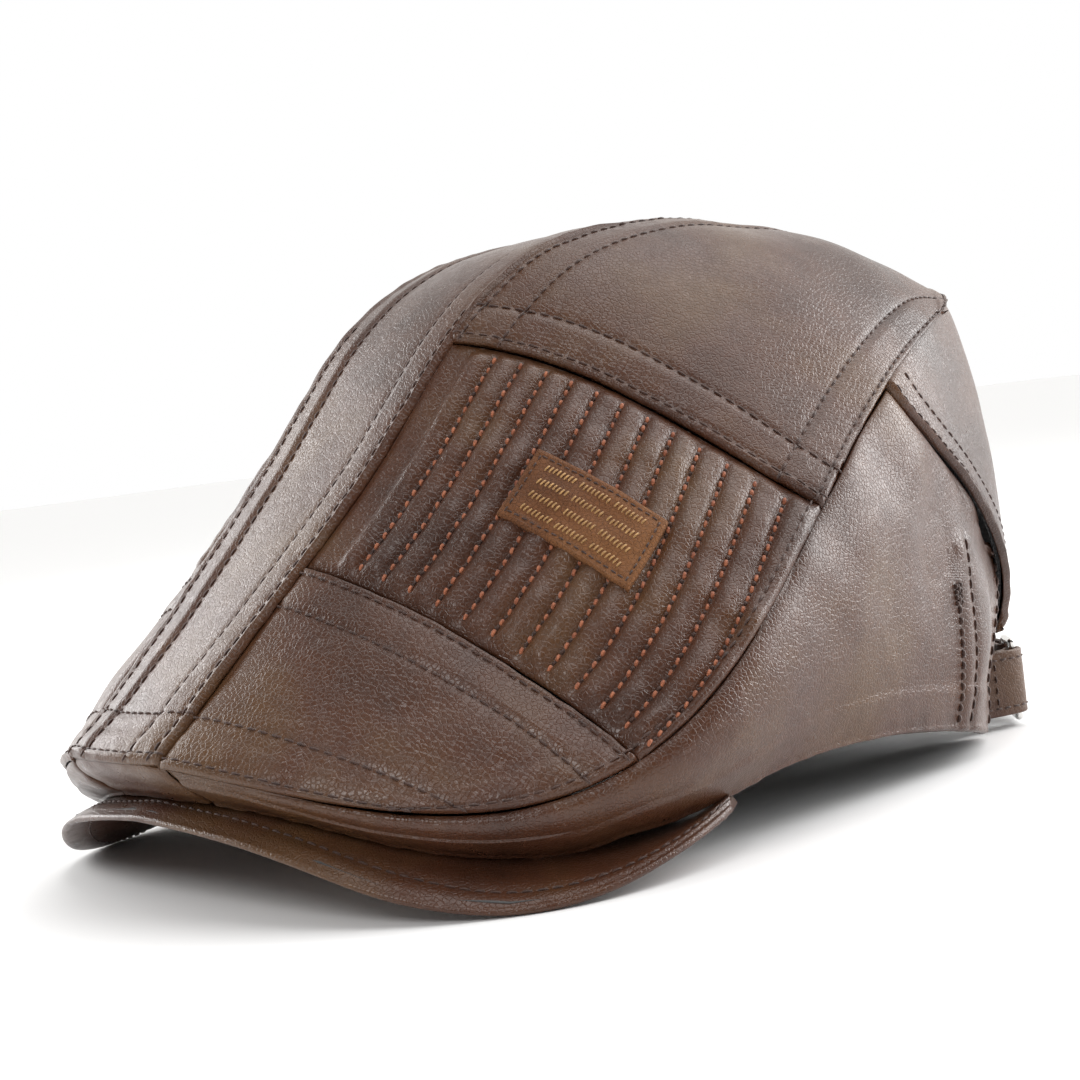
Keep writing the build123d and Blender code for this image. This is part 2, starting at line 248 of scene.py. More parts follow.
def band_face(a, b):
    a, b = np.broadcast_arrays(a, b)
    t = (2 * a - 1) * (TOE - 0.0004)
    return wall(t, down(0 * a, b, 1.12))


def sweat_face(a, b):
    a, b = np.broadcast_arrays(np.asarray(a, float), np.asarray(b, float))
    p = band_foot(a)
    p[..., 2] += BAND_TALL * b
    return p


def mirrored_face(f):
    return lambda a, b: f(a, b) * np.array([-1, 1, 1])


# ---- materials ----
def material(name):
    mat = bpy.data.materials.new(name)
    mat.use_nodes = True
    return mat, mat.node_tree.nodes, mat.node_tree.links, mat.node_tree.nodes["Principled BSDF"]


def noise(nodes, links, vector, scale, detail=4.0, rough=0.55, distortion=0.0):
    node = nodes.new("ShaderNodeTexNoise")
    node.inputs["Scale"].default_value = scale
    node.inputs["Detail"].default_value = detail
    node.inputs["Roughness"].default_value = rough
    node.inputs["Distortion"].default_value = distortion
    links.new(vector, node.inputs["Vector"])
    return node


def colour_ramp(nodes, links, value, stops):
    node = nodes.new("ShaderNodeValToRGB")
    links.new(value, node.inputs["Fac"])
    while len(node.color_ramp.elements) < len(stops):
        node.color_ramp.elements.new(0.5)
    for element, (place, colour) in zip(node.color_ramp.elements, stops):
        element.position = place
        element.color = (*colour, 1)
    return node


def value_math(nodes, links, operation, a, b):
    node = nodes.new("ShaderNodeMath")
    node.operation = operation
    for socket, value in zip(node.inputs, (a, b)):
        if isinstance(value, (int, float)):
            socket.default_value = value
        else:
            links.new(value, socket)
    return node.outputs[0]


def weighted(nodes, links, *parts):
    """Sum of the outputs, each times its weight."""
    total = None
    for output, weight in parts:
        part = output if weight == 1 else value_math(nodes, links, "MULTIPLY", output, weight)
        total = part if total is None else value_math(nodes, links, "ADD", total, part)
    return total


def bump(nodes, links, shader, height, strength, distance):
    node = nodes.new("ShaderNodeBump")
    node.inputs["Strength"].default_value = strength
    node.inputs["Distance"].default_value = distance
    links.new(height, node.inputs["Height"])
    links.new(node.outputs["Normal"], shader.inputs["Normal"])


def leather(name, dark, mid, light, rough=0.42, grain=1.0):
    """Grained leather: pebbles and fine creases, painted shade in the creases, colour that drifts between
    dark, mid and light.
    """
    mat, nodes, links, shader = material(name)
    place = nodes.new("ShaderNodeTexCoord").outputs["Object"]
    broad = noise(nodes, links, place, scale=22, detail=3, rough=0.6)
    tone = colour_ramp(nodes, links, broad.outputs["Fac"], [(0.32, dark), (0.5, mid), (0.68, light)])
    pebble = nodes.new("ShaderNodeTexVoronoi")
    pebble.feature = "DISTANCE_TO_EDGE"
    pebble.inputs["Scale"].default_value = 950
    wobble = noise(nodes, links, place, scale=420, detail=2, rough=0.5)
    mix = nodes.new("ShaderNodeMix")
    mix.data_type = "VECTOR"
    mix.inputs["Factor"].default_value = 0.0005
    links.new(place, mix.inputs[4])
    links.new(wobble.outputs["Color"], mix.inputs[5])
    links.new(mix.outputs[1], pebble.inputs["Vector"])
    cell = colour_ramp(nodes, links, pebble.outputs["Distance"], [(0.0, (0, 0, 0)), (0.16, (1, 1, 1))])
    fine = noise(nodes, links, place, scale=1500, detail=3, rough=0.6)
    crease = noise(nodes, links, place, scale=260, detail=5, rough=0.65, distortion=0.4)
    height = weighted(nodes, links, (cell.outputs["Color"], 0.45), (fine.outputs["Fac"], 0.15),
                      (crease.outputs["Fac"], 0.6))
    bump(nodes, links, shader, height, strength=0.55 * grain, distance=0.00028)
    # Painted shade: the colour is multiplied darker where the crease noise is low, in the valleys of the
    # crease bump.
    crease_shade = nodes.new("ShaderNodeMix")
    crease_shade.data_type = "RGBA"
    crease_shade.blend_type = "MULTIPLY"
    crease_shade.inputs["Factor"].default_value = 0.35
    links.new(tone.outputs["Color"], crease_shade.inputs[6])
    shade = colour_ramp(nodes, links, crease.outputs["Fac"], [(0.3, (0.55, 0.5, 0.48)), (0.6, (1, 1, 1))])
    links.new(shade.outputs["Color"], crease_shade.inputs[7])
    links.new(crease_shade.outputs[2], shader.inputs["Base Color"])
    gloss = colour_ramp(nodes, links, crease.outputs["Fac"],
                        [(0.3, (rough + 0.09,) * 3), (0.7, (rough - 0.06,) * 3)])
    links.new(gloss.outputs["Color"], shader.inputs["Roughness"])
    shader.inputs["Specular IOR Level"].default_value = 0.42
    shader.inputs["Coat Weight"].default_value = 0.10
    shader.inputs["Coat Roughness"].default_value = 0.25
    return mat


def cloth(name, colour, light, scale=1800, rough=0.9):
    """Plain weave: two crossed sets of threads with fuzz."""
    mat, nodes, links, shader = material(name)
    place = nodes.new("ShaderNodeTexCoord").outputs["Object"]
    waves = []
    for direction in ("X", "Z"):
        wave = nodes.new("ShaderNodeTexWave")
        wave.bands_direction = direction
        wave.inputs["Scale"].default_value = scale / 6
        wave.inputs["Distortion"].default_value = 0.6
        links.new(place, wave.inputs["Vector"])
        waves.append(wave.outputs["Fac"])
    fuzz = noise(nodes, links, place, scale, detail=4, rough=0.7)
    tone = colour_ramp(nodes, links, fuzz.outputs["Fac"], [(0.3, colour), (0.75, light)])
    links.new(tone.outputs["Color"], shader.inputs["Base Color"])
    shader.inputs["Roughness"].default_value = rough
    shader.inputs["Sheen Weight"].default_value = 0.3
    height = weighted(nodes, links, (waves[0], 1), (waves[1], 1), (fuzz.outputs["Fac"], 0.8))
    bump(nodes, links, shader, height, strength=0.5, distance=0.0002)
    return mat


def thread(name, dark, light):
    """Twisted sewing thread."""
    mat, nodes, links, shader = material(name)
    place = nodes.new("ShaderNodeTexCoord").outputs["Object"]
    twist = noise(nodes, links, place, scale=1400, detail=2, rough=0.5)
    patchy = noise(nodes, links, place, scale=120, detail=2, rough=0.5)
    level = weighted(nodes, links, (twist.outputs["Fac"], 0.6), (patchy.outputs["Fac"], 0.4))
    tone = colour_ramp(nodes, links, level, [(0.35, dark), (0.65, light)])
    links.new(tone.outputs["Color"], shader.inputs["Base Color"])
    shader.inputs["Roughness"].default_value = 0.6
    shader.inputs["Sheen Weight"].default_value = 0.2
    bump(nodes, links, shader, twist.outputs["Fac"], strength=0.6, distance=0.00015)
    return mat


def metal(name, colour, rough):
    mat, nodes, links, shader = material(name)
    place = nodes.new("ShaderNodeTexCoord").outputs["Object"]
    scratch = noise(nodes, links, place, scale=900, detail=3, rough=0.6)
    tone = colour_ramp(nodes, links, scratch.outputs["Fac"],
                       [(0.3, tuple(0.8 * c for c in colour)), (0.7, colour)])
    links.new(tone.outputs["Color"], shader.inputs["Base Color"])
    shader.inputs["Metallic"].default_value = 1.0
    shader.inputs["Roughness"].default_value = rough
    bump(nodes, links, shader, scratch.outputs["Fac"], strength=0.1, distance=0.0001)
    return mat


DARK, MID, LIGHT = (0.046, 0.017, 0.009), (0.078, 0.029, 0.014), (0.105, 0.050, 0.021)
LEATHER_MAT = leather("brown_leather", DARK, MID, LIGHT, rough=0.31)
STRAP_MAT = leather("strap_leather", DARK, MID, LIGHT, rough=0.42, grain=0.8)
SUEDE_MAT = leather("suede", (0.11, 0.038, 0.011), (0.17, 0.062, 0.018), (0.22, 0.090, 0.028), rough=0.85,
                    grain=2.4)
LINING_MAT = cloth("black_lining", (0.006, 0.006, 0.007), (0.022, 0.022, 0.024))
BAND_MAT = cloth("black_tape", (0.008, 0.008, 0.009), (0.03, 0.03, 0.032), scale=1200)
TAPE_MAT = cloth("hook_and_loop", (0.006, 0.005, 0.005), (0.04, 0.038, 0.036), scale=2600, rough=0.95)
BOARD_MAT = cloth("bill_board_sheet", (0.03, 0.03, 0.03), (0.06, 0.06, 0.06), scale=400, rough=0.7)
BROWN_THREAD = thread("brown_thread", (0.028, 0.009, 0.005), (0.068, 0.026, 0.014))
COPPER_THREAD = thread("copper_thread", (0.22, 0.055, 0.020), (0.48, 0.160, 0.070))
GOLD_THREAD = thread("gold_thread", (0.26, 0.13, 0.035), (0.50, 0.28, 0.10))
RING_MAT = metal("plated_wire", (0.78, 0.77, 0.75), rough=0.22)


# ---- mesh pieces ----
def place_mm(points):
    return (np.asarray(points, float).reshape(-1, 3) + np.array([0, MID_Y, 0])) * MM


def new_piece(name, verts, faces, mat, body):
    mesh = bpy.data.meshes.new(name)
    mesh.from_pydata(place_mm(verts).tolist(), [], faces)
    mesh.update()
    mesh.shade_smooth()
    obj = bpy.data.objects.new(name, mesh)
    bpy.context.scene.collection.objects.link(obj)
    mesh.materials.append(mat)
    if body:
        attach(obj, body)
    return obj


def grid_faces(rows, cols, start=0, flip=False):
    i, j = np.meshgrid(np.arange(rows - 1), np.arange(cols - 1), indexing="ij")
    a = (start + i * cols + j).ravel()
    quads = np.stack([a, a + cols, a + cols + 1, a + 1], -1)
    return quads[:, ::-1] if flip else quads


def tube_faces(rows, cols):
    """Faces of a closed tube: rows sections of cols points each, and its two ends."""
    faces = grid_faces(rows, cols).tolist()
    faces += [[i * cols + cols - 1, (i + 1) * cols + cols - 1, (i + 1) * cols, i * cols]
              for i in range(rows - 1)]
    return faces + [list(range(cols)), [(rows - 1) * cols + j for j in range(cols - 1, -1, -1)]]


def soft_noise(points, size, seed, waves=10):
    """Smooth random heights, about -1 to 1, with bumps about size mm across."""
    rng = np.random.default_rng(seed)
    total = np.zeros(points.shape[:-1])
    for _ in range(waves):
        way = rng.normal(size=3)
        way *= 2 * math.pi / size * rng.uniform(0.6, 1.3) / np.linalg.norm(way)
        total += np.cos(points @ way + rng.uniform(0, 2 * math.pi))
    return total / math.sqrt(waves)


class Panel:
    """A leather or cloth panel: a fine grid over face(a, b) that heights are laid on, a and b 0 to 1."""

    def __init__(self, face, inside=(0, 0, 30), detail=DETAIL, gap=0.12):
        self.face = face
        probe = face(np.linspace(0, 1, 33)[:, None], np.linspace(0, 1, 33)[None, :])
        wide = np.linalg.norm(np.diff(probe, axis=0), axis=-1).sum(0).max()
        tall = np.linalg.norm(np.diff(probe, axis=1), axis=-1).sum(1).max()
        na, nb = max(int(wide / detail), 6), max(int(tall / detail), 6)
        self.a = np.linspace(gap / wide, 1 - gap / wide, na + 1)
        self.b = np.linspace(gap / tall, 1 - gap / tall, nb + 1)
        self.base = face(self.a[:, None], self.b[None, :])
        da, db = np.gradient(self.base, axis=0), np.gradient(self.base, axis=1)
        n = np.cross(da, db)
        size = np.linalg.norm(n, axis=-1, keepdims=True)
        n = n / np.maximum(size, 1e-9)
        if (n * (self.base - np.asarray(inside, float))).sum(-1).mean() < 0:
            n = -n
        self.normal = n
        la = np.concatenate([np.zeros((1, nb + 1)),
                             np.cumsum(np.linalg.norm(np.diff(self.base, axis=0), axis=-1), axis=0)])
        lb = np.concatenate([np.zeros((na + 1, 1)),
                             np.cumsum(np.linalg.norm(np.diff(self.base, axis=1), axis=-1), axis=1)], axis=1)
        self.edge = {"a0": la, "a1": la[-1:] - la, "b0": lb, "b1": lb[:, -1:] - lb}
        self.height = np.zeros(self.base.shape[:2])

    def fold(self, side, thick=0.45, reach=9.0):
        """Edge turned under: a little thicker over the seam allowance, rolled over at the edge itself."""
        d = self.edge[side]
        step, drop, bead, pucker = 2.5, 0.7, 0.55, 0.13
        self.height += thick * (1 - ramp((d - reach) / step)) - (thick + drop) * ridge(d, 0, 0.6)
        self.height += bead * ridge(d, 1.0, 0.6)
        self.height += pucker * np.exp(-d / 5) * soft_noise(self.base, 6, 7)

    def sink(self, side, deep=0.8, reach=1.8):
        """Edge drawn down where a neighbour folds over it."""
        self.height -= deep * np.exp(-self.edge[side] / reach)

    def groove(self, side, inset, deep=0.28, wide=0.8):
        self.height -= deep * ridge(self.edge[side], inset, wide)

    def wrinkle(self, size, deep, seed):
        self.height += deep * soft_noise(self.base, size, seed)

    def top(self):
        return self.base + self.normal * self.height[..., None]

    def build(self, name, mat, body, slot, nodes, thick=LEATHER):
        top = self.top()
        rows, cols = top.shape[:2]
        under = self.base - self.normal * thick
        verts = np.concatenate([top.reshape(-1, 3), under.reshape(-1, 3)])
        n = rows * cols
        up = np.cross(np.gradient(top, axis=0), np.gradient(top, axis=1))
        flip = (up * self.normal).sum() < 0
        faces = [grid_faces(rows, cols, 0, flip), grid_faces(rows, cols, n, not flip)]
        ring = np.concatenate([np.arange(cols), np.arange(1, rows) * cols + cols - 1,
                               (rows - 1) * cols + np.arange(cols - 2, -1, -1),
                               np.arange(rows - 2, 0, -1) * cols])
        nxt = np.roll(ring, -1)
        rim = np.stack([ring, nxt, nxt + n, ring + n], -1)
        faces.append(rim[:, ::-1] if flip else rim)
        obj = new_piece(name, verts, np.concatenate(faces).tolist(), mat, body)
        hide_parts(*nodes)
        return obj

    def along(self, side, inset, start=0.0, end=1.0):
        """Points and normals on the finished face, inset mm from one edge, from start to end of it."""
        top, d = self.top(), self.edge[side]
        axis = 0 if side[0] == "a" else 1
        lines = range(top.shape[1 - axis])
        places, ways = [], []
        for k in lines:
            dist = d[:, k] if axis == 0 else d[k]
            p = top[:, k] if axis == 0 else top[k]
            n = self.normal[:, k] if axis == 0 else self.normal[k]
            if side[1] == "1":
                dist, p, n = dist[::-1], p[::-1], n[::-1]
            if dist[-1] < inset * 1.05:
                continue
            places.append([np.interp(inset, dist, p[:, c]) for c in range(3)])
            ways.append([np.interp(inset, dist, n[:, c]) for c in range(3)])
        count = len(places)
        keep = slice(int(start * count), max(int(end * count), int(start * count) + 2))
        return np.array(places)[keep], np.array(ways)[keep]

    def line(self, a, b):
        """Points and normals on the finished face at the arrays a, b."""
        top = self.top()
        fa = np.interp(a, self.a, np.arange(len(self.a)))
        fb = np.interp(b, self.b, np.arange(len(self.b)))
        i, j = np.clip(fa.astype(int), 0, len(self.a) - 2), np.clip(fb.astype(int), 0, len(self.b) - 2)
        u, v = (fa - i)[:, None], (fb - j)[:, None]

        def pick(g):
            return ((1 - u) * (1 - v) * g[i, j] + u * (1 - v) * g[i + 1, j]
                    + (1 - u) * v * g[i, j + 1] + u * v * g[i + 1, j + 1])
        return pick(top), pick(self.normal)


class Thread:
    """Many stitches in one mesh."""
    # Sections of a stitch: the place along its length, its width and its rise, in radii.
    RINGS = [(-0.5, 0.35, -1.2), (-0.36, 0.9, -0.15), (0.0, 1.0, 0.25), (0.36, 0.9, -0.15), (0.5, 0.35, -1.2)]
    SIDES = 6

    def __init__(self, seed=1):
        self.verts, self.faces, self.rng = [], [], np.random.default_rng(seed)

    def row(self, points, normals, pitch=PITCH, share=SHARE, radius=THREAD_R, skew=0.0, phase=0.0):
        """Stitches along the points: each share of the pitch long, turned skew radians off the row."""
        steps = np.linalg.norm(np.diff(points, axis=0), axis=1)
        s = np.concatenate([[0], np.cumsum(steps)])
        count = max(int(s[-1] / pitch), 1)
        for k in range(count - math.ceil(phase)):
            mid = (k + 0.5 + phase) * s[-1] / count + self.rng.uniform(-0.04, 0.04) * pitch
            c, ahead, behind = (np.array([np.interp(m, s, points[:, i]) for i in range(3)])
                                for m in (mid, mid + 0.6, mid - 0.6))
            n = np.array([np.interp(mid, s, normals[:, i]) for i in range(3)])
            n /= np.linalg.norm(n)
            way = ahead - behind
            way -= n * (way @ n)
            size = np.linalg.norm(way)
            if size < 1e-6:
                continue
            way /= size
            side = np.cross(n, way)
            turn = skew + self.rng.uniform(-0.06, 0.06)
            ahead_share, side_share = math.cos(turn), math.sin(turn)
            way, side = way * ahead_share + side * side_share, side * ahead_share - way * side_share
            self.stitch(c, way, side, n, pitch * share * self.rng.uniform(0.94, 1.05), radius)

    def stitch(self, c, way, side, n, length, radius):
        first = len(self.verts)
        for place, wide, rise in self.RINGS:
            centre = c + way * place * length + n * radius * (0.55 + rise)
            for i in range(self.SIDES):
                a = 2 * math.pi * i / self.SIDES
                self.verts.append(centre + (side * math.cos(a) + n * math.sin(a)) * radius * wide)
        for r in range(len(self.RINGS) - 1):
            for i in range(self.SIDES):
                j = (i + 1) % self.SIDES
                p = first + r * self.SIDES
                self.faces.append((p + i, p + j, p + self.SIDES + j, p + self.SIDES + i))
        last = first + (len(self.RINGS) - 1) * self.SIDES
        self.faces.append(tuple(first + i for i in range(self.SIDES - 1, -1, -1)))
        self.faces.append(tuple(last + i for i in range(self.SIDES)))

    def build(self, name, mat, body, slot):
        return new_piece(name, np.array(self.verts), self.faces, mat, body)


# ---- crown ----
def mark_rows(panel, rows, side, insets, start=0.0, end=1.0):
    """Press a groove for each row, and note the row for sew."""
    for inset in insets:
        panel.groove(side, inset)
        rows.append((side, inset, start, end))


def sew(name, panel, rows, seed):
    stitches = Thread(seed)
    for side, inset, start, end in rows:
        stitches.row(*panel.along(side, inset, start, end))
    stitches.build(f"{name}_thread", BROWN_THREAD, "cap", "leather")


def build_strip():
    panel = Panel(strip_patch)
    rows = []
    for side in ("b0", "b1"):
        panel.fold(side, thick=0.7)
        mark_rows(panel, rows, side, (2.6,), end=0.41)
        mark_rows(panel, rows, side, (11.0,))
    panel.fold("a0", thick=0.4, reach=6)
    panel.fold("a1", thick=0.3, reach=6)
    mark_rows(panel, rows, "a0", (2.0, 13.0))
    panel.wrinkle(size=60, deep=0.35, seed=3)
    panel.wrinkle(size=22, deep=0.10, seed=4)
    panel.build("crown_strip_leather", LEATHER_MAT, "cap", "leather", ["crown_strip"])
    sew("crown_strip", panel, rows, 5)


def build_front(name, face, seed):
    panel = Panel(face)
    rows = []
    panel.sink("b0", deep=1.5, reach=1.4)
    panel.fold("a1", thick=0.5)
    mark_rows(panel, rows, "a1", (2.0, 11.0))
    panel.fold("a0", thick=0.4, reach=7)
    panel.fold("b1", thick=0.4, reach=7)
    mark_rows(panel, rows, "a0", (2.0, 13.0))
    mark_rows(panel, rows, "b1", (2.0,))
    panel.wrinkle(size=46, deep=0.45, seed=seed)
    panel.wrinkle(size=18, deep=0.12, seed=seed + 1)
    panel.build(f"crown_front_{name}_leather", LEATHER_MAT, "cap", "leather", [f"crown_front_{name}"])
    sew(f"crown_front_{name}", panel, rows, seed)


def quilt_line(k, t):
    return QUILT_FIRST + QUILT_LEAN * t + k * (QUILT_STEP + QUILT_SPREAD * t)


def build_quilted(name, face, seed):
    panel = Panel(face, detail=0.7)
    t, w = panel.a[:, None], panel.b[None, :]
    count = (w - QUILT_FIRST - QUILT_LEAN * t) / (QUILT_STEP + QUILT_SPREAD * t)
    sewn = ramp((count + 1.2) / 0.6) * (1 - ramp((count - QUILT_LINES + 0.2) / 0.5))
    ends = ramp((panel.edge["a0"] - 1.0) / 4) * ramp((panel.edge["a1"] - 0.5) / 4)
    puff = np.abs(np.sin(math.pi * count)) ** 0.75
    uneven = 1 + 0.18 * soft_noise(panel.base, 16, seed)
    panel.height += QUILT_HIGH * puff * sewn * ends * uneven - 0.35 * ends
    off_line = np.abs(count - np.round(count)) * 7.5
    panel.height -= 0.45 * sewn * ends * ridge(off_line, 0, 0.55)
    panel.height += 0.10 * soft_noise(panel.base, 5.5, seed + 2) * sewn
    panel.sink("a0", deep=1.0, reach=1.5)
    panel.sink("a1", deep=1.1, reach=1.6)
    panel.sink("b0", deep=0.9, reach=1.5)
    panel.fold("b1", thick=0.35, reach=5)
    piece = panel.build(f"crown_quilted_{name}_leather", LEATHER_MAT, "cap", "leather",
                        [f"crown_quilted_{name}", f"wadding_{name}"])
    copper, brown = Thread(seed), Thread(seed + 1)
    for k in range(QUILT_LINES):
        tt = np.linspace(0.035, 0.965, 80)
        p, n = panel.line(tt, quilt_line(k, tt))
        copper.row(p, n, pitch=2.9, share=0.6, radius=0.46, skew=0.22)
        # Painted shade: these brown stitches, set half a pitch off in the gaps between the copper ones, are
        # dark marks for the shade in those gaps.
        brown.row(p, n, pitch=2.9, share=0.34, radius=0.40, skew=0.1, phase=0.5)
    brown.row(*panel.along("b1", 2.6))
    copper.build(f"quilting_thread_{name}", COPPER_THREAD, "cap", "leather")
    # This mesh holds the brown edge row and the painted shade marks between the copper stitches.
    brown.build(f"crown_quilted_{name}_thread", BROWN_THREAD, "cap", "leather")


def build_rear(name, face, seed):
    panel = Panel(face)
    rows = []
    for side in ("a0", "b0", "b1"):
        panel.fold(side, thick=0.55 if side == "a0" else 0.45)
        mark_rows(panel, rows, side, (2.0, 11.5))
    panel.fold("a1", thick=0.4, reach=6)
    mark_rows(panel, rows, "a1", (2.0,))
    panel.wrinkle(size=50, deep=0.55, seed=seed)
    panel.wrinkle(size=20, deep=0.14, seed=seed + 1)
    panel.build(f"crown_rear_{name}_leather", LEATHER_MAT, "cap", "leather", [f"crown_rear_{name}"])
    sew(f"crown_rear_{name}", panel, rows, seed)


# ---- wall ----
def build_side(name, face, seed):
    panel = Panel(face)
    panel.sink("b0", deep=0.9, reach=1.6)
    panel.fold("b1", thick=0.5, reach=10)
    panel.sink("a0", deep=0.5, reach=0.9)
    rear_edge = panel.edge["a1"]
    free = panel.b[None, :] > HEM_TOP
    panel.height += np.where(free, 0.55 * (1 - ramp((rear_edge - 9) / 2)), 0)
    panel.height -= np.where(free, 0.9 * ridge(rear_edge, 0, 0.8), 0)
    panel.height -= np.where(free, 0, 1.0) * np.exp(-rear_edge / 1.8)
    for inset in (3.0, 9.0):
        panel.height -= np.where(free, 0.35 * ridge(rear_edge, inset, 0.8), 0)
    t = TOE + (hem(panel.b[None, :]) - TOE) * panel.a[:, None]
    facing = ramp((panel.b[None, :] - 0.46) / 0.06)
    panel.height += facing * (0.7 * ramp((t - 0.657) / 0.006) - 0.55 * ridge(t, FACING_AT, 0.0035)
                              - 0.45 * ridge(t, FACING_ROW, 0.004) + 0.3 * ridge(t, 0.675, 0.006))
    rear = ramp((panel.a[:, None] - 0.55) / 0.3)
    panel.height += 0.5 * soft_noise(panel.base, 55, seed) + 0.6 * rear * soft_noise(panel.base, 26, seed + 1)
    panel.wrinkle(size=14, deep=0.09, seed=seed + 2)
    panel.build(f"side_panel_{name}_leather", LEATHER_MAT, "cap", "leather", [f"side_panel_{name}"])
    stitches = Thread(seed)
    for inset, radius in ((3.0, 0.3), (9.0, 0.42)):
        p, n = panel.along("a1", inset, 0.58 if inset > 5 else 0.62, 0.985)
        stitches.row(p, n, pitch=3.3, share=0.8, radius=radius)
    for t_row, start, radius, pitch in ((FACING_AT, 0.60, 0.5, 2.6), (FACING_ROW, 0.50, 0.3, 3.2)):
        b = np.linspace(start, 0.975, 60)
        p, n = panel.line((t_row - TOE) / (hem(b) - TOE), b)
        stitches.row(p, n, pitch, share=0.85, radius=radius)
    bar_tack = np.linspace(0.60, 0.66, 12)
    for shift in (-0.003, 0.0, 0.003):
        p, n = panel.line((FACING_AT + shift - TOE) / (hem(bar_tack) - TOE), bar_tack)
        stitches.row(p, n, pitch=1.3, share=0.95, radius=0.42)
    stitches.build(f"side_panel_{name}_thread", BROWN_THREAD, "cap", "leather")


def build_back():
    panel = Panel(back_face)
    rows = []
    panel.sink("b0", deep=0.9, reach=1.6)
    for side in ("a0", "a1"):
        panel.fold(side, thick=0.6, reach=8)
        mark_rows(panel, rows, side, (2.2, 8.5), 0.03, 0.99)
    panel.fold("b1", thick=0.5, reach=8)
    mark_rows(panel, rows, "b1", (2.2,))
    panel.wrinkle(size=55, deep=0.5, seed=31)
    panel.wrinkle(size=20, deep=0.12, seed=32)
    panel.build("back_panel_leather", LEATHER_MAT, "cap", "leather", ["back_panel"])
    sew("back_panel", panel, rows, 33)


def build_front_band():
    panel = Panel(band_face, detail=0.5)
    panel.sink("b0", deep=0.8, reach=1.2)
    panel.fold("b1", thick=0.3, reach=5)
    panel.sink("a0", deep=0.6, reach=0.7)
    panel.sink("a1", deep=0.6, reach=0.7)
    panel.wrinkle(size=12, deep=0.12, seed=41)
    panel.build("front_band_leather", LEATHER_MAT, "cap", "leather", ["front_band"])


# ---- bill ----
def build_bill():
    """One shell for both covers: the upper face, a round nose and the lower face."""
    t, w = np.linspace(-BILL_END, BILL_END, 300), np.linspace(1, 0, 70)
    nose_turns = 9
    top = bill_face(t[:, None], w[None, :])
    da, db = np.gradient(top, axis=0), np.gradient(top, axis=1)
    n = np.cross(da, db)
    n /= np.linalg.norm(n, axis=-1, keepdims=True)
    n *= np.where(n[..., 2:] < 0, -1, 1)
    inset = np.concatenate([[0], np.cumsum(np.linalg.norm(np.diff(top, axis=1), axis=-1).mean(0))])
    inset = inset[-1] - inset
    height = 0.12 * soft_noise(top, 24, 51) - 0.22 * ridge(inset, BILL_ROW, 0.8)[None, :]
    height = height + (0.2 * ridge(inset, 1.8, 1.3) - 1.4 * np.clip(1 - inset / 9, 0, 1) ** 2)[None, :]
    upper = top + n * height[..., None]
    lower = (top - n * BILL_THICK)[:, ::-1] - n[:, ::-1] * (0.12 * soft_noise(top, 24, 52))[:, ::-1, None]
    lead = upper[:, -1] - top[:, -2]
    lead -= n[:, -1] * (lead * n[:, -1]).sum(-1, keepdims=True)
    lead /= np.linalg.norm(lead, axis=-1, keepdims=True)
    middle = (upper[:, -1] + lower[:, 0]) / 2
    half = (upper[:, -1] - lower[:, 0]) / 2
    angles = np.linspace(0, math.pi, nose_turns + 2)[1:-1]
    nose = np.stack([middle + half * math.cos(a) + lead * BILL_NOSE * math.sin(a) for a in angles], 1)
    shell = np.concatenate([upper, nose, lower], axis=1)
    faces = tube_faces(*shell.shape[:2])
    bill = new_piece("bill_leather", shell.reshape(-1, 3), faces, LEATHER_MAT, "cap")
    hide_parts("bill_top_cover", "bill_under_cover")
    stitches = Thread(53)
    row = np.argmin(np.abs(inset - BILL_ROW))
    for grid, ways, place in ((upper, n, row), (lower, -n[:, ::-1], len(inset) - 1 - row)):
        stitches.row(grid[4:-4, place], ways[4:-4, place], radius=0.24)
    stitches.build("bill_thread", BROWN_THREAD, "cap", "leather")


# ---- label patch ----
def build_patch():
    t0, t1, w0, w1 = PATCH_AT

    def face(a, b):
        a, b = np.broadcast_arrays(a, b)
        return quilt_patch(t0 + (t1 - t0) * a, w0 + (w1 - w0) * b)
    panel = Panel(face, detail=0.4, gap=0.0)
    panel.height += PATCH_PROUD + 0.16 * soft_noise(panel.base, 9, 61)
    sides = ("a0", "a1", "b0", "b1")
    near = np.minimum.reduce([panel.edge[side] for side in sides])
    panel.height -= 0.5 * ridge(near, 0, 0.5)
    panel.height -= 0.22 * ridge(near, PATCH_ROW, 0.5)
    panel.build("label_patch_suede", SUEDE_MAT, "cap", "patch_leather", ["label_patch"], 0.1)
    border, marks = Thread(62), Thread(63)
    for side in sides:
        p, n = panel.along(side, PATCH_ROW, 0.05, 0.95)
        border.row(p, n, pitch=1.9, share=0.75, radius=0.2)
    rng = np.random.default_rng(64)
    strokes, group, half_tall, half_lean = 26, 9, 0.05, 0.008
    for row in (0.2, 0.4, 0.6, 0.8):
        for k in range(strokes):
            b = 0.12 + 0.76 * (k + 0.5) / strokes
            if k % group == group - 1:
                continue
            a = np.array([row - half_tall, row + half_tall]) + rng.uniform(-0.008, 0.008)
            p, n = panel.line(a, np.array([b - half_lean, b + half_lean]))
            marks.row(p, n, pitch=np.linalg.norm(p[1] - p[0]), share=0.95)
    border.build("label_border_thread", BROWN_THREAD, "cap", "patch_leather")
    marks.build("label_stitching", GOLD_THREAD, "cap", "patch_leather")


